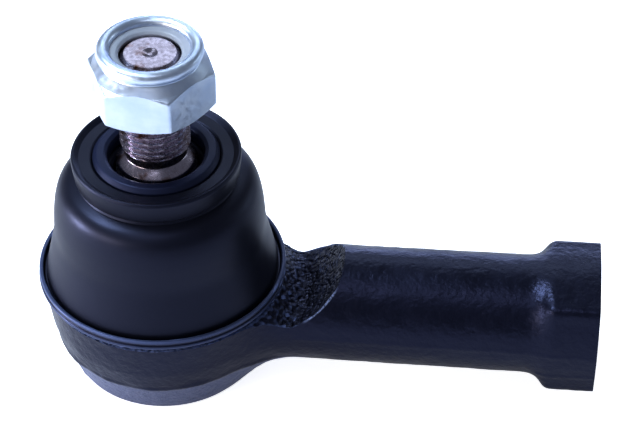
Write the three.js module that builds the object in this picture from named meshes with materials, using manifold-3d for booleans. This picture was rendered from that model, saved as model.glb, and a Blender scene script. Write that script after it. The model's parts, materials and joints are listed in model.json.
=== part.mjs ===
// Tie rod end: a ball stud in a forged socket, sealed by a rubber boot, with a lock nut on the stud.
// Millimetres, +Z up. The origin is the middle of the closing cover's underside, on the stud's axis.
// The arm runs along +X, and its bore takes the tie rod's thread.
import * as THREE from 'three';
import { mergeVertices } from 'three/addons/utils/BufferGeometryUtils.js';
import Module from 'manifold-3d';

const wasm = await Module();
wasm.setup();

// Driving dimensions
const GAP = 0.3; // clearance kept between pieces that touch or run on each other
const BALL_RADIUS = 11;
const BALL_CENTRE_Z = 15;
const NECK_RADIUS = 5.6;
const TAPER_BIG_RADIUS = 7.6; // large end of the 1:10 taper
const TAPER_SMALL_RADIUS = 6.82;
const THREAD_RADIUS = 5.95; // M12 x 1.25, drawn at its outer diameter
const THREAD_START_Z = 47.2;
const STUD_END_Z = 65.6;

const SHOULDER_RADIUS = 20.9; // top edge of the bowl, under the boot's ring
const SHOULDER_Z = 18.8;
const BOSS_TOP_Z = 24; // boss round the socket's mouth, inside the boot
const SOCKET_RADIUS = 13.6;
const COVER_SEAT_RADIUS = 15.1;
const COVER_SEAT_Z = 3.3;
const CUP_HOLE_RADIUS = 5.4; // hole in the pressure cup, clear of the ball's flat as it tilts
const RIM_INNER_RADIUS = 13.2; // edge of the rolled rim that holds the cover

const ARM_RADIUS = 10.25;
const ARM_AXIS_Z = 13.1;
const ARM_END_X = 76.4;
const BLOCK_START_X = 67.6;
const BLOCK_HALF_WIDTH = 9.5; // 19 mm across the flats
const BLOCK_CORNER_RADIUS = 1;
const BORE_RADIUS = 6.2; // minor radius of the M14 x 1.5 rod thread
const BORE_DEPTH = 45;

const RING_RADIUS = 21.7;
const RING_TOP_Z = 21;
const RING_SHEET = 0.8;
const BOOT_WALL = 1.8;
const LIP_RADIUS = 14.4;
const LIP_TOP_Z = 45;
const LIP_UNDERSIDE_Z = 41.1;
const LIP_RING_INNER_RADIUS = 8.3;
const LIP_RING_RADIUS = 10.8;

const NUT_SEAT_Z = 55.9;
const NUT_HALF_WIDTH = 9.5; // 19 mm across the flats
const NUT_CORNER_TOP_Z = 62.3;
const COLLAR_FOOT_RADIUS = 9.6;
const COLLAR_FOOT_Z = 63.1;
const RIM_RADIUS = 8.9; // rolled rim of the collar
const NUT_TOP_Z = 67.3;
const CRIMP_RADIUS = 6.6;
const NUT_TURN = THREE.MathUtils.degToRad(-66); // where one corner of the hexagon points

const FINE = 48; // steps round the large turned pieces
const MEDIUM = 32; // steps round the others

// Points of a circular arc in a profile, [radius, height], angles in degrees from the radial direction.
function arc(centreR, centreZ, radius, fromDeg, toDeg, steps) {
  const points = [];
  for (let i = 0; i <= steps; i += 1) {
    const a = THREE.MathUtils.degToRad(fromDeg + ((toDeg - fromDeg) * i) / steps);
    points.push([centreR + radius * Math.cos(a), centreZ + radius * Math.sin(a)]);
  }
  return points;
}

// A body turned about +Z from [radius, height] points that start and end on the axis.
function turned(points, steps) {
  const profile = points.map(([r, z]) => new THREE.Vector2(r, z));
  return new THREE.LatheGeometry(profile, steps).rotateX(Math.PI / 2);
}

// A ring turned about +Z: its points close on themselves.
function turnedRing(points, steps) {
  return turned([...points, points[0]], steps);
}

// The same body turned about the arm's axis: heights run along +X.
function turnedAlongArm(points, steps) {
  return turned(points, steps)
    .rotateY(Math.PI / 2)
    .translate(0, 0, ARM_AXIS_Z);
}

function toSolid(geometry) {
  const bare = geometry.clone();
  bare.deleteAttribute('normal');
  bare.deleteAttribute('uv');
  const merged = mergeVertices(bare, 1e-4);
  const solid = new wasm.Manifold(
    new wasm.Mesh({
      numProp: 3,
      vertProperties: new Float32Array(merged.attributes.position.array),
      triVerts: new Uint32Array(merged.index.array),
    }),
  );
  if (solid.volume() < 0) throw new Error('a profile runs the wrong way round');
  return solid;
}

function toGeometry(solid) {
  const mesh = solid.getMesh();
  const geometry = new THREE.BufferGeometry();
  geometry.setAttribute('position', new THREE.BufferAttribute(mesh.vertProperties, 3));
  geometry.setIndex(new THREE.BufferAttribute(mesh.triVerts, 1));
  geometry.computeVertexNormals();
  return geometry;
}

// Socket bowl with the boss that rises inside the boot.
function bowlSolid() {
  return toSolid(
    turned(
      [
        [0, 0.15],
        [15, 0.15],
        ...arc(15.2, 1.15, 1, -90, 0, 4),
        [16.9, 1.6],
        [17.3, 3],
        [18.2, 5.5],
        [19.4, 8.5],
        [20.1, 11.5],
        [20.5, 15],
        [SHOULDER_RADIUS, SHOULDER_Z],
        [16.4, SHOULDER_Z],
        [16.4, 20.8],
        [13.4, BOSS_TOP_Z],
        [0, BOSS_TOP_Z],
      ],
      FINE,
    ),
  );
}

// Socket cavity: rolled rim, cover seat, seat bore, roof and the cone that lets the stud tilt.
function cavitySolid() {
  return toSolid(
    turned(
      [
        [0, -1],
        [RIM_INNER_RADIUS, -1],
        [RIM_INNER_RADIUS, 1.1],
        [COVER_SEAT_RADIUS, 1.1],
        [COVER_SEAT_RADIUS, COVER_SEAT_Z],
        [SOCKET_RADIUS, COVER_SEAT_Z],
        [SOCKET_RADIUS, 20.8],
        [9.6, 21.6],
        [10.2, 23],
        [11.2, BOSS_TOP_Z],
        [11.2, BOSS_TOP_Z + 1],
        [0, BOSS_TOP_Z + 1],
      ],
      MEDIUM,
    ),
  );
}

// Round arm that flares into the square wrench block at its end.
function armSolid() {
  const shank = toSolid(
    turnedAlongArm(
      [
        [0, 8],
        [ARM_RADIUS, 8],
        [ARM_RADIUS, 69],
        [0, 69],
      ],
      MEDIUM,
    ),
  );
  const corner = BLOCK_HALF_WIDTH - BLOCK_CORNER_RADIUS;
  const outline = new THREE.Shape();
  outline.absarc(corner, corner, BLOCK_CORNER_RADIUS, 0, Math.PI / 2);
  outline.absarc(-corner, corner, BLOCK_CORNER_RADIUS, Math.PI / 2, Math.PI);
  outline.absarc(-corner, -corner, BLOCK_CORNER_RADIUS, Math.PI, 1.5 * Math.PI);
  outline.absarc(corner, -corner, BLOCK_CORNER_RADIUS, 1.5 * Math.PI, 2 * Math.PI);
  const start = BLOCK_START_X - 4;
  const square = new THREE.ExtrudeGeometry(outline, {
    depth: ARM_END_X - start,
    bevelEnabled: false,
    curveSegments: 3,
  });
  const block = toSolid(square.rotateY(Math.PI / 2).translate(start, 0, ARM_AXIS_Z));
  const flare = toSolid(
    turnedAlongArm(
      [
        [0, start + 0.5],
        [9, start + 0.5],
        [10, start + 1.2],
        [11.2, BLOCK_START_X - 1.2],
        [14, BLOCK_START_X],
        [14, ARM_END_X - 0.6],
        [12.4, ARM_END_X],
        [0, ARM_END_X],
      ],
      MEDIUM,
    ),
  );
  return shank.add(block.intersect(flare));
}

// Turned cut across the top of the arm, which leaves room round the boot's ring.
function neckCutSolid() {
  const floor = SHOULDER_Z - 0.8;
  return toSolid(
    turned(
      [
        [0, floor],
        [SHOULDER_RADIUS - 0.3, floor],
        [22.2, 16.6],
        [24.4, 15.2],
        [26.2, 15.9],
        [29.3, 18.6],
        [31.9, 21.9],
        [34, 26],
        [0, 26],
      ],
      FINE,
    ),
  );
}

// Blind threaded bore for the tie rod, with a lead-in chamfer at its mouth.
function rodBoreSolid() {
  const bottom = ARM_END_X - BORE_DEPTH;
  return toSolid(
    turnedAlongArm(
      [
        [0, bottom - 2.5],
        [BORE_RADIUS, bottom],
        [BORE_RADIUS, ARM_END_X - 1.2],
        [BORE_RADIUS + 1.2, ARM_END_X],
        [BORE_RADIUS + 1.2, ARM_END_X + 2],
        [0, ARM_END_X + 2],
      ],
      MEDIUM,
    ),
  );
}

function housing() {
  const forging = armSolid().subtract(neckCutSolid()).add(bowlSolid());
  return toGeometry(forging.subtract(cavitySolid()).subtract(rodBoreSolid()));
}

// Pressed cover: a flat dished middle inside the rim and a flange held between the rim and its seat.
function endCover() {
  return turned(
    [
      [0, 0],
      [12, 0],
      [12.8, 1.4],
      [14.8, 1.4],
      [14.8, 3],
      [11.6, 3],
      [11, 1.6],
      [0, 1.6],
    ],
    MEDIUM,
  );
}

// Coned disc spring between the cover and the pressure cup.
function preloadSpring() {
  return turnedRing(
    [
      [10.4, 1.9],
      [10.4, 2.6],
      [5.6, 4.1],
      [5.6, 3.4],
    ],
    MEDIUM,
  );
}

// Pressure cup under the ball, with a rebate below for the spring.
function lowerBallSeat() {
  const hollow = BALL_RADIUS + GAP;
  const bottom = -THREE.MathUtils.radToDeg(Math.acos(CUP_HOLE_RADIUS / hollow));
  return turnedRing(
    [
      [CUP_HOLE_RADIUS, 4.5],
      [11, 4.5],
      [11, 3.4],
      [SOCKET_RADIUS - GAP, 3.4],
      [SOCKET_RADIUS - GAP, BALL_CENTRE_Z - 1],
      ...arc(0, BALL_CENTRE_Z, hollow, -5, bottom, 8),
    ],
    MEDIUM,
  );
}

// Bearing above the ball, held under the socket's roof.
function upperBallSeat() {
  const hollow = BALL_RADIUS + GAP;
  return turnedRing(
    [
      [SOCKET_RADIUS - GAP, BALL_CENTRE_Z - 0.7],
      [SOCKET_RADIUS - GAP, 20.4],
      [9.8, 21.1],
      ...arc(0, BALL_CENTRE_Z, hollow, 29, -3, 8),
    ],
    MEDIUM,
  );
}

// Ball, neck, taper, undercut and threaded end of the stud.
function ballStud() {
  const flat = THREE.MathUtils.radToDeg(Math.asin(-9 / BALL_RADIUS));
  const neck = THREE.MathUtils.radToDeg(Math.acos(NECK_RADIUS / BALL_RADIUS));
  return turned(
    [
      [0, BALL_CENTRE_Z - 9],
      ...arc(0, BALL_CENTRE_Z, BALL_RADIUS, flat, neck, 14),
      [NECK_RADIUS, 25.8],
      [6.3, 27.3],
      [TAPER_BIG_RADIUS, 28.6],
      [TAPER_SMALL_RADIUS, 44.2],
      [6.3, 44.8],
      [5.3, 44.9],
      [5.3, 46.9],
      [THREAD_RADIUS, THREAD_START_Z],
      [THREAD_RADIUS, STUD_END_Z - 1.4],
      [4.5, STUD_END_Z],
      [1.7, STUD_END_Z],
      [0, STUD_END_Z - 1.5],
    ],
    MEDIUM,
  );
}

// Rubber bell: foot in the ring, waisted wall, square lip with a rebate for its stiffening ring.
function dustBoot() {
  const outside = [
    [20.2, 20.2],
    [20.1, 21.5],
    [19.5, 24],
    [18.9, 26.5],
    [18.4, 29],
    [18.2, 31.5],
    [18, 34],
    [17.6, 36.5],
    [16.9, 38.3],
    [15.7, 39.6],
    [13.7, 40.5],
    [14.1, LIP_UNDERSIDE_Z],
    [LIP_RADIUS, LIP_TOP_Z - 0.9],
    [13.2, LIP_TOP_Z],
  ];
  const lip = [
    [11.5, LIP_TOP_Z],
    [LIP_RING_RADIUS + GAP, LIP_TOP_Z - 0.5],
    [LIP_RING_RADIUS + GAP, 42.2],
    [8, 42.2],
    [7.4, 41.6],
    [7.4, 40.8],
    [8.2, 40.2],
    [11.6, 39.2],
  ];
  const inside = [
    [14.6, 38],
    [15.6, 36.5],
    [18 - BOOT_WALL, 34],
    [18.2 - BOOT_WALL, 31.5],
    [18.4 - BOOT_WALL, 29],
    [18.9 - BOOT_WALL, 26.5],
    [17.5, 23.5],
    [17.1, 22.5],
    [17.1, 20.2],
  ];
  return turnedRing([...outside, ...lip, ...inside], FINE);
}

// Angle-section ring that clamps the boot's foot to the shoulder of the housing.
function bootBaseRing() {
  const bottom = SHOULDER_Z + GAP;
  const wall = RING_RADIUS - RING_SHEET;
  return turnedRing(
    [
      [17, bottom],
      [RING_RADIUS - 0.3, bottom],
      [RING_RADIUS, bottom + 0.3],
      [RING_RADIUS, RING_TOP_Z - 0.3],
      [RING_RADIUS - 0.3, RING_TOP_Z],
      [wall, RING_TOP_Z],
      [wall, bottom + RING_SHEET],
      [17, bottom + RING_SHEET],
    ],
    FINE,
  );
}

function bootLipRing() {
  return turnedRing(
    [
      [LIP_RING_INNER_RADIUS, 42.5],
      [LIP_RING_RADIUS, 42.5],
      [LIP_RING_RADIUS, LIP_TOP_Z + 0.2],
      [LIP_RING_INNER_RADIUS, LIP_TOP_Z + 0.2],
    ],
    MEDIUM,
  );
}

// Hexagon with chamfered corners under a round collar that is crimped over the nylon.
function lockNut() {
  const corner = (NUT_HALF_WIDTH * 2) / Math.sqrt(3);
  const outline = new THREE.Shape();
  for (let i = 0; i < 6; i += 1) {
    const a = (i * Math.PI) / 3;
    if (i === 0) outline.moveTo(corner, 0);
    else outline.lineTo(corner * Math.cos(a), corner * Math.sin(a));
  }
  const hexagon = new THREE.ExtrudeGeometry(outline, {
    depth: COLLAR_FOOT_Z + 0.5 - NUT_SEAT_Z,
    bevelEnabled: false,
  });
  const prism = toSolid(hexagon.translate(0, 0, NUT_SEAT_Z));
  const envelope = toSolid(
    turned(
      [
        [0, NUT_SEAT_Z],
        [9.2, NUT_SEAT_Z],
        [corner, NUT_SEAT_Z + 1],
        [corner, NUT_CORNER_TOP_Z],
        [COLLAR_FOOT_RADIUS, COLLAR_FOOT_Z],
        [0, COLLAR_FOOT_Z],
      ],
      MEDIUM,
    ),
  );
  const collar = toSolid(
    turned(
      [
        [0, COLLAR_FOOT_Z - 1],
        [NUT_HALF_WIDTH - 0.05, COLLAR_FOOT_Z - 1],
        [NUT_HALF_WIDTH - 0.05, COLLAR_FOOT_Z + 0.1],
        [8.4, 64.7],
        ...arc(RIM_RADIUS - 1.15, NUT_TOP_Z - 1.15, 1.15, -30, 150, 8),
        [0, NUT_TOP_Z - 0.6],
      ],
      MEDIUM,
    ),
  );
  const bore = toSolid(
    turned(
      [
        [0, NUT_SEAT_Z - 1],
        [7.2, NUT_SEAT_Z - 1],
        [7.2, NUT_SEAT_Z],
        [THREAD_RADIUS + GAP, NUT_SEAT_Z + 0.9],
        [THREAD_RADIUS + GAP, 63.9],
        [7.5, 63.9],
        [7.5, NUT_TOP_Z - 1.4],
        [CRIMP_RADIUS, NUT_TOP_Z - 1.4],
        [CRIMP_RADIUS, NUT_TOP_Z + 1],
        [0, NUT_TOP_Z + 1],
      ],
      MEDIUM,
    ),
  );
  return toGeometry(prism.intersect(envelope).add(collar).subtract(bore));
}

function nylonInsert() {
  return turnedRing(
    [
      [THREAD_RADIUS + GAP, 64.2],
      [7.2, 64.2],
      [7.2, NUT_TOP_Z - 1.7],
      [THREAD_RADIUS + GAP, NUT_TOP_Z - 1.7],
    ],
    MEDIUM,
  );
}

const blackPaint = { color: 0x15171c, roughness: 0.4, metalness: 0.1 };
const blackRubber = { color: 0x1c1e26, roughness: 0.6, metalness: 0 };
const oiledSteel = { color: 0x6e6661, roughness: 0.35, metalness: 0.9 };
const springSteel = { color: 0x55565a, roughness: 0.4, metalness: 0.9 };
const zincPlate = { color: 0xc9d3df, roughness: 0.25, metalness: 1 };
const nylon = { color: 0xb9bcbf, roughness: 0.45, metalness: 0 };
const acetal = { color: 0xe4e1d8, roughness: 0.4, metalness: 0 };

const group = new THREE.Group();

function place(name, geometry, finish, turn = 0) {
  const mesh = new THREE.Mesh(geometry, new THREE.MeshStandardMaterial(finish));
  mesh.name = name;
  mesh.rotation.z = turn;
  group.add(mesh);
}

place('housing', housing(), blackPaint);
place('end_cover', endCover(), oiledSteel);
place('preload_spring', preloadSpring(), springSteel);
place('lower_ball_seat', lowerBallSeat(), acetal);
place('upper_ball_seat', upperBallSeat(), acetal);
place('ball_stud', ballStud(), oiledSteel);
place('boot_base_ring', bootBaseRing(), blackPaint);
place('dust_boot', dustBoot(), blackRubber);
place('boot_lip_ring', bootLipRing(), blackRubber);
place('lock_nut', lockNut(), zincPlate, NUT_TURN);
place('nylon_insert', nylonInsert(), nylon);

export default group;
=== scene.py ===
import json
import math
import bpy
import bmesh
import numpy as np
from mathutils import Matrix, Vector, noise

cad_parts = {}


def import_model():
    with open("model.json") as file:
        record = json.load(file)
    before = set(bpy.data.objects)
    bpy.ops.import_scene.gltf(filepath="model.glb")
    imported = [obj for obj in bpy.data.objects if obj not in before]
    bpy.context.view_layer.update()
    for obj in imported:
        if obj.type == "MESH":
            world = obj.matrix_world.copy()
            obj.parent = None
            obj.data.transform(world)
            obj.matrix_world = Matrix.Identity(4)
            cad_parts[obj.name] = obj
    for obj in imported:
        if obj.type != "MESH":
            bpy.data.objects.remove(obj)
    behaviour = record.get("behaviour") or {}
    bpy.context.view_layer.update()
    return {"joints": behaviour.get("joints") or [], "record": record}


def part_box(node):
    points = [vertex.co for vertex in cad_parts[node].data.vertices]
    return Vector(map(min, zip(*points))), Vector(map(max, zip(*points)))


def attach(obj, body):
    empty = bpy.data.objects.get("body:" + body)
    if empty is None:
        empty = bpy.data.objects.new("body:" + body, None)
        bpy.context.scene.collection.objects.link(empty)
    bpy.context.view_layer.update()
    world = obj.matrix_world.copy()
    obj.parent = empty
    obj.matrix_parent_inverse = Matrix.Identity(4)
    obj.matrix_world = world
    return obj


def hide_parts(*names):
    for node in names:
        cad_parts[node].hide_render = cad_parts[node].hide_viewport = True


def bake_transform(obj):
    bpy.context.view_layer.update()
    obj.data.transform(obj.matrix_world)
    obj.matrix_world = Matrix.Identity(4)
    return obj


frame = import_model()

# Lengths below are millimetres unless a name ends in _m. The frame is in metres.
MM = 0.001
CIRCLE = 2 * math.pi
mounts = {mount["name"]: mount for mount in frame["record"]["mounts"]}
joints = {joint["name"]: joint for joint in frame["joints"]}


def limits(node):
    """The two corners of a CAD node's box, in millimetres."""
    low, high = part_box(node)
    return low / MM, high / MM


ARM_END_X = mounts["rod_end_face"]["pos_m"][0] / MM
ARM_Z = mounts["wrench_flat_side"]["pos_m"][2] / MM
BLOCK_HALF = -mounts["wrench_flat_side"]["pos_m"][1] / MM
BALL_Z = joints["stud_tilt"]["pos_m"][2] / MM
NUT_SEAT_Z = mounts["nut_seat"]["pos_m"][2] / MM
NUT_TOP_Z = limits("lock_nut")[1].z
STUD_END_Z = limits("ball_stud")[1].z
BALL_R = limits("ball_stud")[1].x
RING_FOOT_Z = limits("boot_base_ring")[0].z
RING_TOP_Z = limits("boot_base_ring")[1].z
RING_R = limits("boot_base_ring")[1].x
BOOT_FOOT_Z = limits("dust_boot")[0].z
LIP_TOP_Z = limits("dust_boot")[1].z
LIP_RING_R = limits("boot_lip_ring")[1].x
LIP_RING_FOOT_Z = limits("boot_lip_ring")[0].z
COVER_R = limits("end_cover")[1].x
SEAT_R = limits("lower_ball_seat")[1].x
SEAT_SPLIT_Z = limits("upper_ball_seat")[0].z
SEAT_TOP_Z = limits("upper_ball_seat")[1].z
INSERT_FOOT_Z = limits("nylon_insert")[0].z
nut_screw = next(tie for tie in frame["record"]["behaviour"]["couplings"] if tie["joint"] == "nut_travel")
NUT_PITCH = nut_screw["ratio"] * CIRCLE / MM
SOCKET_R = SEAT_R + 0.3
ARM_R = 10.25
ARM_START_X = 12  # inside the bowl
ARM_BLANK_END_X = 72  # inside the block
STOCK_END_X = 84  # the block is forged long and faced back to ARM_END_X
BLOCK_START_X = 67.6
NECK_EDGE_R, NECK_EDGE_Z = 31.8, 21.9  # where the neck cut leaves the arm's top
SHOULDER_Z = RING_FOOT_Z - 0.3
BOSS_TOP_Z = limits("housing")[1].z


# ---------------------------------------------------------------- shapes

def rounded(corners, closed=True, steps=5):
    """An outline from (radius, height, fillet) corners. A corner with a fillet becomes an arc."""
    count = len(corners)
    outline = []
    for i, (r, z, fillet) in enumerate(corners):
        here = np.array([r, z])
        if fillet == 0 or (not closed and i in (0, count - 1)):
            outline.append((r, z))
            continue
        before = np.array(corners[i - 1][:2]) - here
        after = np.array(corners[(i + 1) % count][:2]) - here
        length_before, length_after = np.linalg.norm(before), np.linalg.norm(after)
        before, after = before / length_before, after / length_after
        half = math.acos(np.clip(before @ after, -1, 1)) / 2
        reach = min(fillet / math.tan(half), 0.49 * length_before, 0.49 * length_after)
        fillet = reach * math.tan(half)
        middle = before + after
        centre = here + middle / np.linalg.norm(middle) * fillet / math.sin(half)
        start, end = here + before * reach - centre, here + after * reach - centre
        turn = math.atan2(start[0] * end[1] - start[1] * end[0], start @ end)
        for k in range(steps + 1):
            a = turn * k / steps
            x = start[0] * math.cos(a) - start[1] * math.sin(a)
            y = start[0] * math.sin(a) + start[1] * math.cos(a)
            outline.append((centre[0] + x, centre[1] + y))
    return outline


def arc(centre, radius, first, last, steps):
    """Points of an arc in (radius, height), angles in degrees from the radial direction."""
    angles = np.radians(np.linspace(first, last, steps + 1))
    return [(centre[0] + radius * math.cos(a), centre[1] + radius * math.sin(a)) for a in angles]


def smooth_run(points, per_span=6):
    """A Catmull-Rom curve through the points of an outline."""
    p = np.array([points[0], *points, points[-1]], float)
    run = []
    for i in range(1, len(p) - 2):
        for k in range(per_span):
            t = k / per_span
            a = 2 * p[i]
            b = (p[i + 1] - p[i - 1]) * t
            c = (2 * p[i - 1] - 5 * p[i] + 4 * p[i + 1] - p[i + 2]) * t ** 2
            d = (3 * p[i] - p[i - 1] - 3 * p[i + 1] + p[i + 2]) * t ** 3
            run.append(tuple((a + b + c + d) / 2))
    return [*run, tuple(points[-1])]


def new_piece(name, vertices, faces, sharp_deg=32):
    """A mesh object from millimetre vertices, outward facing, smooth but for its sharp edges."""
    mesh = bpy.data.meshes.new(name)
    mesh.from_pydata((np.asarray(vertices, float) * MM).tolist(), [], faces)
    work = bmesh.new()
    work.from_mesh(mesh)
    bmesh.ops.recalc_face_normals(work, faces=work.faces)
    if work.calc_volume(signed=True) < 0:
        bmesh.ops.reverse_faces(work, faces=work.faces)
    work.to_mesh(mesh)
    work.free()
    mesh.shade_smooth()
    mesh.set_sharp_from_angle(angle=math.radians(sharp_deg))
    piece = bpy.data.objects.new(name, mesh)
    bpy.context.scene.collection.objects.link(piece)
    return piece


def turned(name, outline, steps=160, closed=True, along_arm=False):
    """A body turned about the stud's axis, or about the arm's. outline is a list of (radius, height)
    or a function of the angle that gives one. An open outline starts and ends on the axis."""
    angles = [CIRCLE * j / steps for j in range(steps)]
    rows = np.array([outline(a) if callable(outline) else outline for a in angles])
    if not closed:
        first, last, rows = rows[0, 0], rows[0, -1], rows[:, 1:-1]
    count = rows.shape[1]
    cos, sin = np.cos(angles)[:, None], np.sin(angles)[:, None]
    points = np.stack([rows[:, :, 0] * cos, rows[:, :, 0] * sin, rows[:, :, 1]], -1).reshape(-1, 3)
    faces = []
    spans = count if closed else count - 1
    for j in range(steps):
        here, there = j * count, (j + 1) % steps * count
        for i in range(spans):
            k = (i + 1) % count
            faces.append((here + i, there + i, there + k, here + k))
    if not closed:
        points = np.vstack([points, [[0, 0, first[1]], [0, 0, last[1]]]])
        top, bottom = len(points) - 1, len(points) - 2
        for j in range(steps):
            here, there = j * count, (j + 1) % steps * count
            faces.append((here, bottom, there))
            faces.append((here + count - 1, there + count - 1, top))
    if along_arm:
        points = np.stack([points[:, 2], points[:, 1], ARM_Z - points[:, 0]], -1)
    return new_piece(name, points, faces)


def applied(piece, kind, **settings):
    """Adds one modifier and makes its result the piece's own mesh."""
    modifier = piece.modifiers.new(kind.lower(), kind)
    for key, value in settings.items():
        setattr(modifier, key, value)
    graph = bpy.context.evaluated_depsgraph_get()
    mesh = bpy.data.meshes.new_from_object(piece.evaluated_get(graph))
    piece.modifiers.clear()
    old, piece.data = piece.data, mesh
    bpy.data.meshes.remove(old)
    return piece


def joined(name, parts):
    """The parts' meshes in one object."""
    work = bmesh.new()
    for part in parts:
        work.from_mesh(part.data)
        bpy.data.objects.remove(part)
    mesh = bpy.data.meshes.new(name)
    work.to_mesh(mesh)
    work.free()
    piece = bpy.data.objects.new(name, mesh)
    bpy.context.scene.collection.objects.link(piece)
    return piece


def cut(piece, cutter):
    """Takes the cutter away from the piece. The new faces keep the cutter's material."""
    applied(piece, "BOOLEAN", operation="DIFFERENCE", object=cutter, solver="EXACT",
            material_mode="TRANSFER")
    bpy.data.objects.remove(cutter)


def thread_depth(height, angle, pitch):
    """How far below its crest a 60 degree right-hand thread lies, as a fraction of its depth."""
    phase = (height / pitch - angle / CIRCLE + 0.5) % 1 - 0.5
    crest, root = 1 / 16, 3 / 8
    return min(max((abs(phase) - crest) / (root - crest), 0), 1)


# ---------------------------------------------------------------- materials

def linear(colour):
    """An sRGB hex colour as linear RGBA."""
    values = [int(colour[i:i + 2], 16) / 255 for i in (1, 3, 5)]
    return [v / 12.92 if v <= 0.04045 else ((v + 0.055) / 1.055) ** 2.4 for v in values] + [1]


def per_metre(size):
    """Scale of a pattern whose features are size millimetres across."""
    return 1 / (size * MM)


def add(tree, kind, inputs=(), **settings):
    """Adds a node with its settings. inputs gives each socket a value or another node's output."""
    made = tree.nodes.new("ShaderNode" + kind)
    for key, value in settings.items():
        setattr(made, key, value)
    for key, value in dict(inputs).items():
        if isinstance(value, bpy.types.NodeSocket):
            tree.links.new(value, made.inputs[key])
        else:
            made.inputs[key].default_value = value
    return made


def shader(name):
    """A new material with its tree, its surface shader and its object coordinates."""
    material = bpy.data.materials.new(name)
    material.use_nodes = True
    tree = material.node_tree
    surface = tree.nodes["Principled BSDF"]
    place = add(tree, "TexCoord").outputs["Object"]
    return material, tree, surface, place


def height_mask(tree, place, low, high, wander):
    """1 above the height high and 0 below low, with an edge that wanders as a forged line does."""
    height = add(tree, "SeparateXYZ", {"Vector": place}).outputs["Z"]
    drift = add(tree, "TexNoise", {"Vector": place, "Scale": per_metre(6), "Detail": 3})
    shift = add(tree, "Math", {0: drift.outputs["Fac"], 1: wander * MM, 2: height},
                operation="MULTIPLY_ADD")
    return add(tree, "MapRange", {"Value": shift.outputs["Value"], "From Min": (low + wander / 2) * MM,
                                  "From Max": (high + wander / 2) * MM}).outputs["Result"]


def painted_edge_highlight(tree, axes, fine_speckle):
    """Where a highlight is painted as a pale line on the sharp edge where the neck cut leaves the round arm.
    The edge's distance from the stud's axis shrinks, ever faster, as it runs down the arm's side."""
    def maths(operation, a, b):
        return add(tree, "Math", {0: a, 1: b}, operation=operation).outputs["Value"]

    def ramp(value, none, full):
        return add(tree, "MapRange", {"Value": value, "From Min": none, "From Max": full}).outputs["Result"]

    x, y, z = (axes.outputs[axis] for axis in "XYZ")
    reach = maths("SQRT", maths("ADD", maths("MULTIPLY", x, x), maths("MULTIPLY", y, y)), 0)
    drop = maths("SUBTRACT", NECK_EDGE_Z * MM, z)
    shrink = maths("ADD", maths("MULTIPLY", drop, 0.055 / MM), 0.52)
    edge = maths("SUBTRACT", NECK_EDGE_R * MM, maths("MULTIPLY", drop, shrink))
    away = maths("SUBTRACT", reach, edge)
    mask = ramp(fine_speckle, 0.3, 0.55)
    for value, none, full in ((away, 0.5 * MM, 0.25 * MM), (away, -0.6 * MM, -0.3 * MM),
                              (z, 16.2 * MM, 17.5 * MM), (z, 21.6 * MM, 20.6 * MM)):
        mask = maths("MULTIPLY", mask, ramp(value, none, full))
    return mask


def mixed(tree, share, first, second):
    """A colour between two, which are hex values or other nodes' colours."""
    first, second = (linear(c) if isinstance(c, str) else c for c in (first, second))
    return add(tree, "Mix", {0: share, 6: first, 7: second}, data_type="RGBA").outputs[2]


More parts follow.
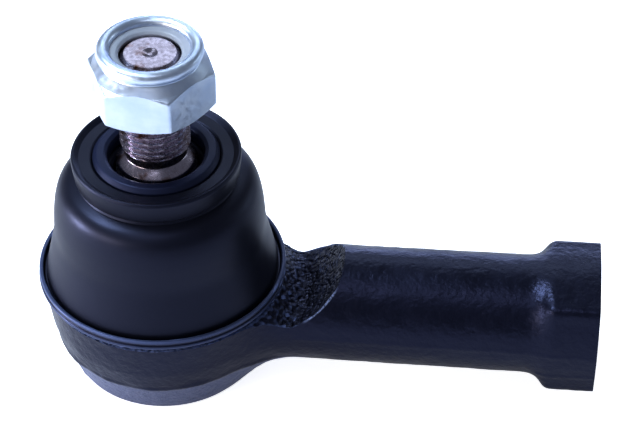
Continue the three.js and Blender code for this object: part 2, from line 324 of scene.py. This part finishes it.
def enamel_on_forging(name, grain_mm, grain_depth, pit_mm, pit_depth, roughness, wear_and_highlight_span, rough_below=None):
    """Black air-drying enamel sprayed over a shot-blasted forging: a thin blue-black film, glossy where
    it lies thick, that keeps the grain and the pits of the steel. Under the flash line, where the
    spray hardly reaches, it is thin, dusty and coarse, and painted paler still to stand for the bright
    floor it reflects there. The pair of sharpness limits gives where an edge or a bump turns pale
    blue. On the forging that is film worn through on its sharpest edges. Where the lower limit sits
    at a flat face's 0.5, as on the pressed ring and the rough cut, it paints a highlight on every
    rounded bead and bump. On the rough cut's edge a pale line is painted as a highlight too."""
    material, tree, surface, place = shader(name)
    film = add(tree, "TexNoise", {"Vector": place, "Scale": per_metre(5), "Detail": 4}).outputs["Fac"]
    grain = add(tree, "TexNoise", {"Vector": place, "Scale": per_metre(grain_mm), "Detail": 4,
                                   "Roughness": 0.55}).outputs["Fac"]
    pit = add(tree, "TexVoronoi", {"Vector": place, "Scale": per_metre(pit_mm), "Randomness": 1},
              feature="SMOOTH_F1").outputs["Distance"]
    fine_speckle = add(tree, "TexNoise", {"Vector": place, "Scale": per_metre(0.35), "Detail": 2}).outputs["Fac"]
    axes = add(tree, "SeparateXYZ", {"Vector": place})
    colour = mixed(tree, film, "#0b0d18", "#121526")
    gloss = add(tree, "MapRange", {"Value": film, "From Min": 0.3, "From Max": 0.7,
                                   "To Min": roughness - 0.06, "To Max": roughness + 0.08}).outputs["Result"]
    pits = add(tree, "MapRange", {"Value": pit, "From Min": 0.05, "From Max": 0.5,
                                  "To Min": 0, "To Max": pit_depth / grain_depth}).outputs["Result"]
    height = add(tree, "Math", {0: grain, 1: pits}, operation="ADD").outputs["Value"]
    relief = add(tree, "Bump", {"Height": height, "Distance": grain_depth * MM, "Strength": 1})
    if rough_below:
        on_arm = add(tree, "MapRange", {"Value": axes.outputs["X"], "From Min": 21 * MM, "From Max": 27 * MM})
        above = height_mask(tree, place, rough_below - 0.5, rough_below + 0.3, 1.6)
        smooth = add(tree, "Math", {0: above, 1: on_arm.outputs["Result"]},
                     operation="MAXIMUM").outputs["Value"]
        # Below the flash line the film is thin and dusty, and its colour is painted paler still for the
        # bright floor it reflects.
        colour = mixed(tree, smooth, mixed(tree, fine_speckle, "#474d68", "#7a8098"), colour)
        gloss = add(tree, "Mix", {0: smooth, 2: roughness + 0.1, 3: gloss}).outputs[0]
        coarse = add(tree, "Math", {0: 1.0, 1: smooth}, operation="SUBTRACT").outputs["Value"]
        scale = add(tree, "TexNoise", {"Vector": place, "Scale": per_metre(0.9), "Detail": 4,
                                       "Roughness": 0.65}).outputs["Fac"]
        relief = add(tree, "Bump", {"Height": scale, "Strength": coarse, "Distance": 0.35 * MM,
                                    "Normal": relief.outputs["Normal"]})
    # Pale blue where the surface is sharp: worn film on sharp edges, and a painted highlight on beads and
    # bumps when the lower limit sits at flat.
    sharpness = add(tree, "NewGeometry").outputs["Pointiness"]
    wear_and_highlight = add(tree, "MapRange", {"Value": sharpness, "From Min": wear_and_highlight_span[0], "From Max": wear_and_highlight_span[1]})
    colour = mixed(tree, wear_and_highlight.outputs["Result"], colour, "#7787b4")
    if rough_below:
        # Painted highlight: a pale line along the neck cut's edge, broken up by the fine speckle.
        colour = mixed(tree, painted_edge_highlight(tree, axes, fine_speckle), colour, "#9fb0d8")
    tree.links.new(colour, surface.inputs["Base Color"])
    tree.links.new(gloss, surface.inputs["Roughness"])
    tree.links.new(relief.outputs["Normal"], surface.inputs["Normal"])
    surface.inputs["IOR"].default_value = 1.52
    surface.inputs["Specular Tint"].default_value = linear("#bcc4ff")
    return material


def satin(tree, surface, pattern, colour, smoothest, roughest, depth_mm, strength):
    """Links a colour to the surface, with a gloss and a fine relief that follow one pattern each."""
    gloss_from, relief_from = pattern
    gloss = add(tree, "MapRange", {"Value": gloss_from, "From Min": 0.3, "From Max": 0.7,
                                   "To Min": smoothest, "To Max": roughest})
    relief = add(tree, "Bump", {"Height": relief_from, "Distance": depth_mm * MM, "Strength": strength})
    tree.links.new(colour, surface.inputs["Base Color"])
    tree.links.new(gloss.outputs["Result"], surface.inputs["Roughness"])
    tree.links.new(relief.outputs["Normal"], surface.inputs["Normal"])


def moulded_rubber(name, base, roughness):
    """Carbon-black chloroprene moulded in a bead-blasted tool: dull blue-black with a soft bloom that
    lightens it in faint clouds."""
    material, tree, surface, place = shader(name)
    bloom = add(tree, "TexNoise", {"Vector": place, "Scale": per_metre(9), "Detail": 3}).outputs["Fac"]
    blast = add(tree, "TexNoise", {"Vector": place, "Scale": per_metre(0.35), "Detail": 3}).outputs["Fac"]
    colour = mixed(tree, bloom, *base)
    satin(tree, surface, (bloom, blast), colour, roughness - 0.04, roughness + 0.04, 0.015, 0.5)
    surface.inputs["IOR"].default_value = 1.52
    surface.inputs["Specular Tint"].default_value = linear("#c4ccff")
    return material


def oiled_steel(name):
    """Turned alloy steel with dark preserving oil: brown-grey in fine specks, darker and duller where
    they stand high, with rust where the oil has dried."""
    material, tree, surface, place = shader(name)
    stain = add(tree, "TexNoise", {"Vector": place, "Scale": per_metre(3), "Detail": 5}).outputs["Fac"]
    speck = add(tree, "TexNoise", {"Vector": place, "Scale": per_metre(0.7), "Detail": 3}).outputs["Fac"]
    rust = add(tree, "MapRange", {"Value": stain, "From Min": 0.56, "From Max": 0.7}).outputs["Result"]
    colour = mixed(tree, rust, mixed(tree, speck, "#b4acba", "#857c86"), "#5a3a2c")
    satin(tree, surface, (speck, speck), colour, 0.18, 0.32, 0.03, 0.6)
    surface.inputs["Metallic"].default_value = 1
    return material


def zinc_plate(name):
    """Barrel-plated zinc with a clear blue passivate: a bright bluish white metal with faint cloudy
    patches and rub marks from the barrel."""
    material, tree, surface, place = shader(name)
    cloud = add(tree, "TexNoise", {"Vector": place, "Scale": per_metre(4), "Detail": 4}).outputs["Fac"]
    rub = add(tree, "TexNoise", {"Vector": place, "Scale": per_metre(0.9), "Detail": 4}).outputs["Fac"]
    colour = mixed(tree, cloud, "#e6edf6", "#b4c6e2")
    satin(tree, surface, (rub, rub), colour, 0.32, 0.46, 0.02, 0.5)
    surface.inputs["Metallic"].default_value = 1
    return material


def moulded_plastic(name, light, dark, roughness, scatter):
    """Injection-moulded plastic: an even colour with the faintest flow clouds and a satin skin."""
    material, tree, surface, place = shader(name)
    flow = add(tree, "TexNoise", {"Vector": place, "Scale": per_metre(3), "Detail": 3}).outputs["Fac"]
    skin = add(tree, "TexNoise", {"Vector": place, "Scale": per_metre(0.5), "Detail": 2}).outputs["Fac"]
    relief = add(tree, "Bump", {"Height": skin, "Distance": 0.01 * MM, "Strength": 0.4})
    tree.links.new(mixed(tree, flow, light, dark), surface.inputs["Base Color"])
    tree.links.new(relief.outputs["Normal"], surface.inputs["Normal"])
    surface.inputs["Roughness"].default_value = roughness
    surface.inputs["IOR"].default_value = 1.53
    surface.inputs["Subsurface Weight"].default_value = scatter
    surface.inputs["Subsurface Radius"].default_value = (0.6 * MM, 0.6 * MM, 0.6 * MM)
    surface.inputs["Subsurface Scale"].default_value = 1
    return material


forged_enamel = enamel_on_forging("black_enamel_on_forging", 0.9, 0.11, 0.9, 0.02, 0.34, (0.62, 0.85),
                                  rough_below=7.2)
# These two start at a flat face's sharpness, so their pale blue is a painted highlight on the rough cut's
# bumps and the ring's rounded beads.
neck_enamel = enamel_on_forging("black_enamel_on_rough_cut", 0.55, 0.3, 0.8, 0.3, 0.28, (0.499, 0.54))
ring_enamel = enamel_on_forging("black_enamel_on_pressed_steel", 1.2, 0.03, 1, 0.0, 0.3, (0.498, 0.56))
boot_rubber = moulded_rubber("moulded_chloroprene_rubber", ("#0a0c15", "#111422"), 0.42)
lip_plastic = moulded_rubber("moulded_hard_rubber", ("#121930", "#1a233e"), 0.45)
stud_steel = oiled_steel("oiled_alloy_steel")
cut_steel = oiled_steel("machined_steel")
nut_zinc = zinc_plate("blue_passivated_zinc")
insert_nylon = moulded_plastic("natural_nylon", "#b4bac6", "#a3aab8", 0.35, 0.3)
seat_acetal = moulded_plastic("white_acetal", "#e6e2d8", "#d8d3c6", 0.35, 0.2)


# ---------------------------------------------------------------- housing

BOWL = [
    (0, 0.15, 0), (15, 0.15, 0), (16.2, 0.3, 0.9), (16.6, 1.5, 0.4), (16.95, 1.9, 0.4), (17.3, 3, 1),
    (18.2, 5.5, 2), (19.4, 8.5, 2), (20.1, 11.5, 2), (20.5, 15, 2), (20.9, SHOULDER_Z, 0.3),
    (16.4, SHOULDER_Z, 0.4), (16.4, 20.8, 0.4), (13.4, BOSS_TOP_Z, 0.4), (0, BOSS_TOP_Z, 0),
]
FLASH_Z = 7.4  # height of the line left round the bowl where the dies met


def outline_distance(r, z, outline):
    """Signed distance of points to a closed outline, negative inside."""
    best = np.full(r.shape, 1e9)
    inside = np.zeros(r.shape, bool)
    for (r0, z0), (r1, z1) in zip(outline, outline[1:] + outline[:1]):
        dr, dz = r1 - r0, z1 - z0
        t = np.clip(((r - r0) * dr + (z - z0) * dz) / max(dr * dr + dz * dz, 1e-12), 0, 1)
        best = np.minimum(best, np.hypot(r - r0 - t * dr, z - z0 - t * dz))
        crosses = ((z0 <= z) != (z1 <= z)) & (r < r0 + (z - z0) * dr / (dz if dz else 1e-12))
        inside ^= crosses
    return np.where(inside, -best, best)


def blended(a, b, reach):
    """The union of two distances, with a fillet about reach wide in the corner between them."""
    mix = np.maximum(reach - np.abs(a - b), 0) / reach
    return np.minimum(a, b) - mix * mix * reach / 4


def forging_distance(points, bowl):
    """Signed distance to the forging: the bowl, the arm and the block with their forged fillets."""
    x, y, z = points.T
    around = np.hypot(y, z - ARM_Z)
    taper = 0.003 * (x - 40)
    arm_end = STOCK_END_X + 2
    past_ends = np.abs(x - (ARM_START_X + arm_end) / 2) - (arm_end - ARM_START_X) / 2
    arm = np.maximum(around - ARM_R - taper, past_ends)
    corner = 1.3
    reach = BLOCK_HALF - corner
    dx = np.abs(x - (BLOCK_START_X + STOCK_END_X) / 2) - ((STOCK_END_X - BLOCK_START_X) / 2 - corner)
    dy, dz = np.abs(y) - reach, np.abs(z - ARM_Z) - reach
    outside = np.sqrt(sum(np.maximum(d, 0) ** 2 for d in (dx, dy, dz)))
    block = outside + np.minimum(np.maximum(np.maximum(dx, dy), dz), 0) - corner
    return blended(blended(arm, block, 4), outline_distance(np.hypot(x, y), z, bowl), 7)


def ripple(points, size, seed):
    """Smooth noise over the points, about -1 to 1, with features size millimetres across."""
    offset = Vector((seed * 17.3, seed * 5.1, seed * 9.7))
    return np.array([noise.noise(Vector(p) / size + offset) for p in points])


def block_blank():
    """A plain square bar where the wrench block comes, left long for facing."""
    sides = [(y, z) for y in (-BLOCK_HALF, BLOCK_HALF) for z in (ARM_Z - BLOCK_HALF, ARM_Z + BLOCK_HALF)]
    corners = [(x, y, z) for x in (BLOCK_START_X, STOCK_END_X) for y, z in sides]
    faces = [(0, 1, 3, 2), (4, 6, 7, 5), (0, 4, 5, 1), (2, 3, 7, 6), (0, 2, 6, 4), (1, 5, 7, 3)]
    return new_piece("block_blank", corners, faces)


def forging():
    """The raw forging, with its hammer scale and the flash line left by trimming."""
    bowl = rounded(BOWL, closed=False)
    arm = [(0, ARM_START_X), (ARM_R, ARM_START_X), (ARM_R, ARM_BLANK_END_X), (0, ARM_BLANK_END_X)]
    start = joined("forging", [
        turned("bowl_blank", bowl, 96, closed=False),
        turned("arm_blank", arm, 96, closed=False, along_arm=True),
        block_blank(),
    ])
    voxel = 0.36
    applied(start, "REMESH", mode="VOXEL", voxel_size=voxel * MM)
    count = len(start.data.vertices)
    points = np.zeros(count * 3)
    start.data.vertices.foreach_get("co", points)
    points = points.reshape(-1, 3) / MM
    # The remesh is only near the forging's true surface: each round moves the points closer to it.
    step = 0.05
    for _ in range(6):
        here = forging_distance(points, bowl)
        slope = np.stack([
            (forging_distance(points + axis * step, bowl) - forging_distance(points - axis * step, bowl))
            / (2 * step) for axis in np.eye(3)], -1)
        steep = np.maximum((slope ** 2).sum(-1, keepdims=True), 0.2)
        points -= np.clip(here[:, None], -1, 1) * slope / steep
    normal = slope / np.maximum(np.linalg.norm(slope, axis=-1, keepdims=True), 1e-6)
    # Heights of the marks, in millimetres: flash and trim lines, parting line, scale, coarse skin.
    x, y, z = points.T
    radius = np.hypot(x, y)
    on_bowl = np.clip((23 - x) / 4, 0, 1) * (z < SHOULDER_Z - 0.5)
    wander = ripple(points * [1, 1, 0.2], 7, 3)
    flash = np.exp(-((z - FLASH_Z - 0.7 * wander) / 0.5) ** 2) * on_bowl * (0.25 + 0.2 * ripple(points, 4, 5))
    low = np.clip((7 - z + 0.7 * wander) / 1.0, 0, 1) * on_bowl
    parting = np.exp(-((z - ARM_Z) / 0.45) ** 2) * (np.abs(y) > 5) * (x > 24) * 0.1
    trim = np.exp(-((z - 8 - 0.4 * wander) / 0.3) ** 2) * (np.abs(y) > 5) * (x > 66) * 0.12
    scale = 0.06 * ripple(points, 5, 1) + 0.05 * ripple(points, 1.5, 2)
    rough = low * 0.06 * ripple(points, 1.3, 7)
    clear = np.clip((z - 0.4) / 1.5, 0, 1) * np.where(radius < 16.5, 0.1, 1)
    points += normal * ((scale + flash + rough + parting + trim) * clear)[:, None]
    points[:, 2] = np.maximum(points[:, 2], 0.05)
    start.data.vertices.foreach_set("co", (points * MM).ravel())
    start.data.update()
    start.data.shade_smooth()
    start.data.materials.append(forged_enamel)
    return start


def neck_cutter():
    """The rough turned cut across the top of the arm that clears the boot's ring."""
    floor = SHOULDER_Z - 0.8
    valley = smooth_run([(21.3, 17.9), (22.8, 16.7), (24.6, 15.7), (25.9, 15.6), (27.8, 17), (29.5, 18.5),
                         (30.9, 20.4), (NECK_EDGE_R, NECK_EDGE_Z), (32.1, 23.4)], 11)
    run = [(20.6, floor), *valley, (32.3, 26)]

    def outline(angle):
        points = [(0, floor)]
        for r, z in run:
            at = Vector((r * math.cos(angle), r * math.sin(angle), z))
            chatter = noise.noise(Vector((r * 1.1, angle * 14, 2))) * 0.14
            bumps = noise.noise(at / 0.9) * 0.12
            points.append((r + chatter + bumps, z + bumps))
        return [*points, (0, 26)]

    cutter = turned("neck_cutter", outline, 520, closed=False)
    cutter.data.materials.append(neck_enamel)
    return cutter


def cavity_cutter():
    """The machined socket: rolled rim, cover seat, bore, roof and the cone that lets the stud tilt."""
    cutter = turned("cavity_cutter", rounded([
        (0, -2, 0), (13.4, -2, 0), (13.2, 0.6, 0.5), (13.2, 1.1, 0.2), (COVER_R + 0.3, 1.1, 0.2),
        (COVER_R + 0.3, 3.3, 0.2), (SOCKET_R, 3.3, 0.2), (SOCKET_R, 20.8, 0.4), (9.6, 21.6, 0.3),
        (10.2, 23, 0.5), (11.2, BOSS_TOP_Z, 0), (12, 26, 0), (0, 26, 0),
    ], closed=False), 128, closed=False)
    cutter.data.materials.append(cut_steel)
    return cutter


def bore_cutter():
    """The tapped bore for the tie rod, with the cut that faces the end of the block."""
    minor, depth, pitch, length = 6.2, 0.85, 1.5, 45
    mouth = minor + 1.3
    bottom = ARM_END_X - length
    heights = np.arange(bottom, ARM_END_X - 0.1, pitch / 12)

    def outline(angle):
        wall = []
        for x in heights:
            tap = minor + depth * (1 - thread_depth(x, -angle, pitch))
            wall.append((max(tap, mouth - (ARM_END_X - x)), x))
        return [(0, bottom - 2.5), *wall, (mouth, ARM_END_X), (20, ARM_END_X),
                (20, ARM_END_X + 12), (0, ARM_END_X + 12)]

    cutter = turned("bore_cutter", outline, 72, closed=False, along_arm=True)
    cutter.data.materials.append(cut_steel)
    return cutter


def housing():
    """The forging after its machining."""
    body = forging()
    for cutter in (neck_cutter(), cavity_cutter(), bore_cutter()):
        cut(body, cutter)
    body.name = "forged_housing"
    body.data.set_sharp_from_angle(angle=math.radians(38))
    return body


# ---------------------------------------------------------------- turned and pressed pieces

def boot_ring():
    """Pressed ring with a rolled edge above and below the band that shows."""
    foot, top, sheet = RING_FOOT_Z, RING_TOP_Z, 0.8
    middle = (foot + top) / 2
    return turned("pressed_boot_ring", rounded([
        (17, foot, 0.1), (RING_R - 0.7, foot, 0.2), (RING_R, foot + 0.3, 0.35),
        (RING_R - 0.05, middle - 0.25, 0.3), (RING_R - 0.35, middle, 0.3), (RING_R - 0.15, middle + 0.3, 0.3),
        (RING_R - 0.1, top - 0.1, 0.35),
        (RING_R - sheet, top, 0.3), (RING_R - sheet - 0.2, foot + sheet, 0.2), (17, foot + sheet, 0.1),
    ]), 200)


def rubber_boot():
    """The bell: foot in the ring, waisted wall, shoulder, neck and the square lip at the top."""
    wall = smooth_run([(20.1, 21.4), (19.6, 23.6), (18.95, 26.4), (18.4, 29), (18.2, 31.5), (18.0, 34),
                       (17.6, 36.4), (16.9, 38.3), (15.6, 39.6), (13.8, 40.3)], 6)
    inside = smooth_run([(14.6, 38), (15.9, 36.2), (16.2, 34), (16.4, 31.5), (16.6, 29), (17.1, 26.5),
                         (17.5, 23.5), (17.1, 22.4)], 5)
    top = LIP_TOP_Z
    lip = rounded([
        (13.6, 40.7, 0.2), (14.1, 41.2, 0.3), (14.5, top - 0.5, 0.3), (14.3, top, 0.25), (13.95, top, 0.3),
        (13.15, top - 0.6, 0.3), (11.3, top - 0.6, 0.15), (10.95, top - 0.8, 0.1),
        (10.95, 42.2, 0.1), (8, 42.2, 0.1), (7.4, 41.6, 0.3), (7.4, 40.8, 0.3), (8.2, 40.2, 0.3),
        (11.8, 39.2, 0.8),
    ], closed=False)
    bell = [(20.25, BOOT_FOOT_Z), (20.2, 21), *wall, *lip, *inside, (17.1, BOOT_FOOT_Z)]
    boot = turned("rubber_boot", bell, 200)
    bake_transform(boot)
    return boot


def lip_ring():
    """Stiffening ring in the boot's lip, with a broad rounded shoulder outside."""
    foot = LIP_RING_FOOT_Z
    top = limits("boot_lip_ring")[1].z
    return turned("lip_stiffening_ring", rounded([
        (8.3, foot, 0.1), (LIP_RING_R, foot, 0.1), (LIP_RING_R, top - 0.75, 0.15),
        (LIP_RING_R - 0.65, top, 0.45), (8.9, top, 0.3), (8.3, top - 0.4, 0.3),
    ]), 160)


THREAD_R = 5.95
THREAD_DEPTH = 0.77


def stud_thread(height, angle):
    """Radius of the stud's thread at a height and an angle."""
    return THREAD_R - THREAD_DEPTH * thread_depth(height, angle, NUT_PITCH)


def ball_stud():
    """Ball, neck, 1:10 taper, undercut and right-hand thread, with the dimple of its centre drill."""
    flat = math.degrees(math.asin(-9 / BALL_R))
    neck = math.degrees(math.acos(5.6 / BALL_R))
    below = [(0, BALL_Z - 9)] + arc((0, BALL_Z), BALL_R, flat, neck, 40)
    shank = rounded([(5.6, 25.2, 0), (5.6, 25.8, 0.5), (7.6, 28.6, 0.8), (6.82, 43.9, 0.9), (5.7, 44.9, 0.7),
                     (5.25, 45.3, 0.3), (5.25, 46.6, 0.3), (5.35, 46.9, 0)], closed=False)
    heights = np.arange(47, STUD_END_Z - 0.02, NUT_PITCH / 14)
    end = rounded([(4.35, STUD_END_Z - 0.02, 0), (4.15, STUD_END_Z, 0.2), (1.3, STUD_END_Z, 0.6),
                   (0.4, STUD_END_Z - 0.28, 0.5), (0, STUD_END_Z - 0.3, 0)], closed=False)

    def outline(angle):
        thread = []
        for height in heights:
            lead = min(5.3 + (height - 46.9) * 1.2, 4.33 + (STUD_END_Z - height) * 0.95)
            thread.append((min(stud_thread(height, angle), lead), height))
        return below + shank + thread + end

    return turned("threaded_ball_stud", outline, 144, closed=False)


def nut():
    """Hexagon with rounded corners under a crimped collar, tapped to run on the stud's thread."""
    half, corner = 9.5, 0.5
    foot_r, foot_z = 9.75, 63.35
    turn = math.radians(-66)
    seat = NUT_SEAT_Z
    arc_centre = (half - corner) / math.cos(math.pi / 6)
    tangent = math.atan((half - corner) * math.tan(math.pi / 6) / half)
    heights = np.arange(63.6, seat + 0.9, -NUT_PITCH / 10)

    def hexagon(angle):
        off_flat = (angle - turn) % (math.pi / 3) - math.pi / 6
        if abs(off_flat) <= tangent:
            return half / math.cos(off_flat)
        off_corner = math.pi / 6 - abs(off_flat)
        return arc_centre * math.cos(off_corner) + math.sqrt(
            corner ** 2 - (arc_centre * math.sin(off_corner)) ** 2)

    def outline(angle):
        across = hexagon(angle)
        low = seat + 0.577 * (across - 9.2)
        high = foot_z - 0.5 * (across - foot_r) if across > foot_r else foot_z + 1.1 * (foot_r - across)
        outer = rounded([
            (7.1, seat, 0), (9.2, seat, 0.3), (across, low, 0.3), (across, high, 0.75),
            (min(across, foot_r) - 0.02, max(high, foot_z) + 0.02, 0.1), (8.4, 64.7, 0.3), (8.25, 64.9, 0.15),
            (8.6, 65.3, 0),
        ], closed=False, steps=4)
        rim = arc((7.75, NUT_TOP_Z - 1.15), 1.15, -35, 165, 16)
        inner = [(6.7, NUT_TOP_Z - 1.5), (7.3, NUT_TOP_Z - 1.6), (7.3, INSERT_FOOT_Z - 0.3),
                 (6.2, INSERT_FOOT_Z - 0.4)]
        tapped = [(stud_thread(height, angle) + 0.12, height) for height in heights]
        return outer + rim + inner + tapped + [(6.3, seat + 0.75)]

    return turned("crimped_lock_nut", outline, 360)


def insert():
    """Nylon locking ring, pressed out to the thread where the stud has reached it."""
    top = NUT_TOP_Z - 1.25
    return turned("nylon_locking_ring", rounded([
        (6.15, INSERT_FOOT_Z, 0.1), (7.2, INSERT_FOOT_Z, 0.1), (7.2, top - 0.5, 0.2), (6.7, top + 0.1, 0.3),
        (5.6, top - 0.15, 0.5), (5.12, STUD_END_Z - 0.15, 0.3), (5.3, STUD_END_Z - 0.8, 0.1),
        (6.15, STUD_END_Z - 1.3, 0.1),
    ]), 160)


def cover():
    """Pressed closing cover with its dished middle."""
    return turned("pressed_cover", rounded([
        (0, 0, 0), (12, 0, 0.6), (12.7, 1.4, 0.4), (COVER_R, 1.4, 0.2), (COVER_R, 3, 0.3), (11.7, 3, 0.6),
        (11.1, 1.6, 0.4), (0, 1.6, 0),
    ], closed=False), 128, closed=False)


def spring():
    """Disc spring that presses the cup against the ball."""
    return turned("disc_spring", rounded([
        (10.4, 1.9, 0.15), (10.4, 2.6, 0.15), (5.6, 4.1, 0.15), (5.6, 3.4, 0.15),
    ]), 96)


def lower_seat():
    """Pressure cup under the ball."""
    hollow = BALL_R + 0.3
    hole = 5.4
    return turned("lower_pressure_cup", rounded([
        (hole, 4.5, 0), (11, 4.5, 0.2), (11, 3.4, 0.2), (SEAT_R, 3.4, 0.3), (SEAT_R, BALL_Z - 1, 0),
    ], closed=False) + arc((0, BALL_Z), hollow, -5, -math.degrees(math.acos(hole / hollow)), 24), 96)


def upper_seat():
    """Bearing ring over the ball."""
    hollow = BALL_R + 0.3
    return turned("upper_bearing_ring", rounded([
        (SEAT_R, SEAT_SPLIT_Z, 0.2), (SEAT_R, SEAT_TOP_Z - 0.7, 0.3), (9.8, SEAT_TOP_Z, 0.2),
    ], closed=False) + arc((0, BALL_Z), hollow, 29, -3, 20), 96)


# ---------------------------------------------------------------- assembly

def finished(piece, node, body, material):
    """Gives the piece its material, lets it stand for its CAD node and ride on its body."""
    if not piece.data.materials:
        piece.data.materials.append(material)
    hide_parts(node)
    if body:
        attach(piece, body)


finished(housing(), "housing", "housing_body", forged_enamel)
finished(boot_ring(), "boot_base_ring", "housing_body", ring_enamel)
finished(cover(), "end_cover", "housing_body", cut_steel)
finished(spring(), "preload_spring", "housing_body", cut_steel)
finished(lower_seat(), "lower_ball_seat", "housing_body", seat_acetal)
finished(upper_seat(), "upper_ball_seat", "housing_body", seat_acetal)
finished(rubber_boot(), "dust_boot", None, boot_rubber)
finished(lip_ring(), "boot_lip_ring", "boot_lip", lip_plastic)
finished(ball_stud(), "ball_stud", "stud", stud_steel)
finished(nut(), "lock_nut", "nut", nut_zinc)
finished(insert(), "nylon_insert", "nut_carriage", insert_nylon)


# ---------------------------------------------------------------- studio

def camera():
    """Three-quarter view from above the front, the arm towards the right."""
    data = bpy.data.cameras.new("camera")
    data.sensor_width = 36
    data.lens = 129.4
    data.clip_start, data.clip_end = 0.01, 10
    eye = bpy.data.objects.new("camera", data)
    bpy.context.scene.collection.objects.link(eye)
    ahead = Vector((-0.0718, 0.7591, -0.6470)).normalized()
    eye.rotation_mode = "QUATERNION"
    roll = Matrix.Rotation(math.radians(-0.2), 4, "Z").to_quaternion()
    eye.rotation_quaternion = ahead.to_track_quat("-Z", "Y") @ roll
    eye.location = Vector((56.0, -298.7, 288.1)) * MM
    bpy.context.scene.camera = eye


def softbox(name, bearing, height, size, watts, colour):
    """A soft lamp 0.7 m from the part. bearing runs from +X round to +Y and height is the angle above
    the floor, in degrees."""
    middle, distance = Vector((20, 0, 20)), 700
    turn, rise = math.radians(bearing), math.radians(height)
    flat = distance * math.cos(rise)
    place = middle + Vector((flat * math.cos(turn), flat * math.sin(turn), distance * math.sin(rise)))
    data = bpy.data.lights.new(name, "AREA")
    data.shape = "RECTANGLE"
    data.size, data.size_y = size[0] * MM, size[1] * MM
    data.energy = watts
    data.color = linear(colour)[:3]
    lamp = bpy.data.objects.new(name, data)
    bpy.context.scene.collection.objects.link(lamp)
    lamp.location = place * MM
    lamp.rotation_mode = "QUATERNION"
    lamp.rotation_quaternion = (middle - place).to_track_quat("-Z", "Y")


def sheet_of_card(name, height, tint, glow):
    """A wide flat sheet at a height, white or nearly, with a glow of its own. glow is an even strength,
    or two: the strength left of the part, seen from the front, and the strength right of it. Two
    strengths paint a shade on the sheet, with its glow fading to the right, where the part's shadow falls."""
    half = 3000
    corners = [(-half, -half, height), (half, -half, height), (half, half, height), (-half, half, height)]
    card = new_piece(name, corners, [(0, 1, 2, 3)])
    material, tree, surface, place = shader(name)
    surface.inputs["Base Color"].default_value = linear(tint)
    surface.inputs["Roughness"].default_value = 0.9
    surface.inputs["Specular IOR Level"].default_value = 0.1
    surface.inputs["Emission Color"].default_value = linear("#ffffff")
    if isinstance(glow, tuple):
        left, right = glow
        x = add(tree, "SeparateXYZ", {"Vector": place}).outputs["X"]
        # Painted shade: the glow dims from left to right, standing in for the part's shadow.
        painted_shade_ramp = add(tree, "MapRange", {"Value": x, "From Min": -80 * MM, "From Max": 110 * MM,
                                      "To Min": left, "To Max": right})
        tree.links.new(painted_shade_ramp.outputs["Result"], surface.inputs["Emission Strength"])
    else:
        surface.inputs["Emission Strength"].default_value = glow
    card.data.materials.append(material)
    return card


def floor():
    """A back-lit white floor that the camera sees, over a card that catches the real shadows and glows with a
    painted shade, dimmer to the right of the part.
    """
    seen = sheet_of_card("white_floor", 0, "#e8eaee", 0.85)
    seen.visible_diffuse = seen.visible_glossy = seen.visible_shadow = False
    # Its glow fades to the right: painted shade for the part's shadow on the floor.
    bounce = sheet_of_card("bounce_card", -0.2, "#dfe4ee", (0.55, 0.12))
    bounce.visible_camera = False


def world():
    """The dim grey-blue room round the part."""
    sky = bpy.data.worlds.new("studio")
    bpy.context.scene.world = sky
    sky.use_nodes = True
    back = sky.node_tree.nodes["Background"]
    back.inputs["Color"].default_value = linear("#c8d0e0")
    back.inputs["Strength"].default_value = 0.38


camera()
floor()
world()
softbox("key_softbox", 165, 60, (220, 160), 3.2, "#e2f3ff")
softbox("low_left_softbox", 188, 9, (200, 140), 4.2, "#f4f6ff")
softbox("front_left_softbox", 222, 18, (340, 240), 1.8, "#fff4e6")
softbox("back_softbox", 90, 40, (500, 200), 0.75, "#e3f2ff")
softbox("low_back_softbox", 90, 6, (400, 90), 0.8, "#bdceff")
softbox("right_softbox", 30, 12, (300, 140), 0.35, "#e7f7ff")
softbox("top_front_softbox", 255, 68, (260, 200), 0.6, "#eef3ff")
bpy.context.scene.view_settings.view_transform = "Standard"
bpy.context.scene.view_settings.gamma = 0.8
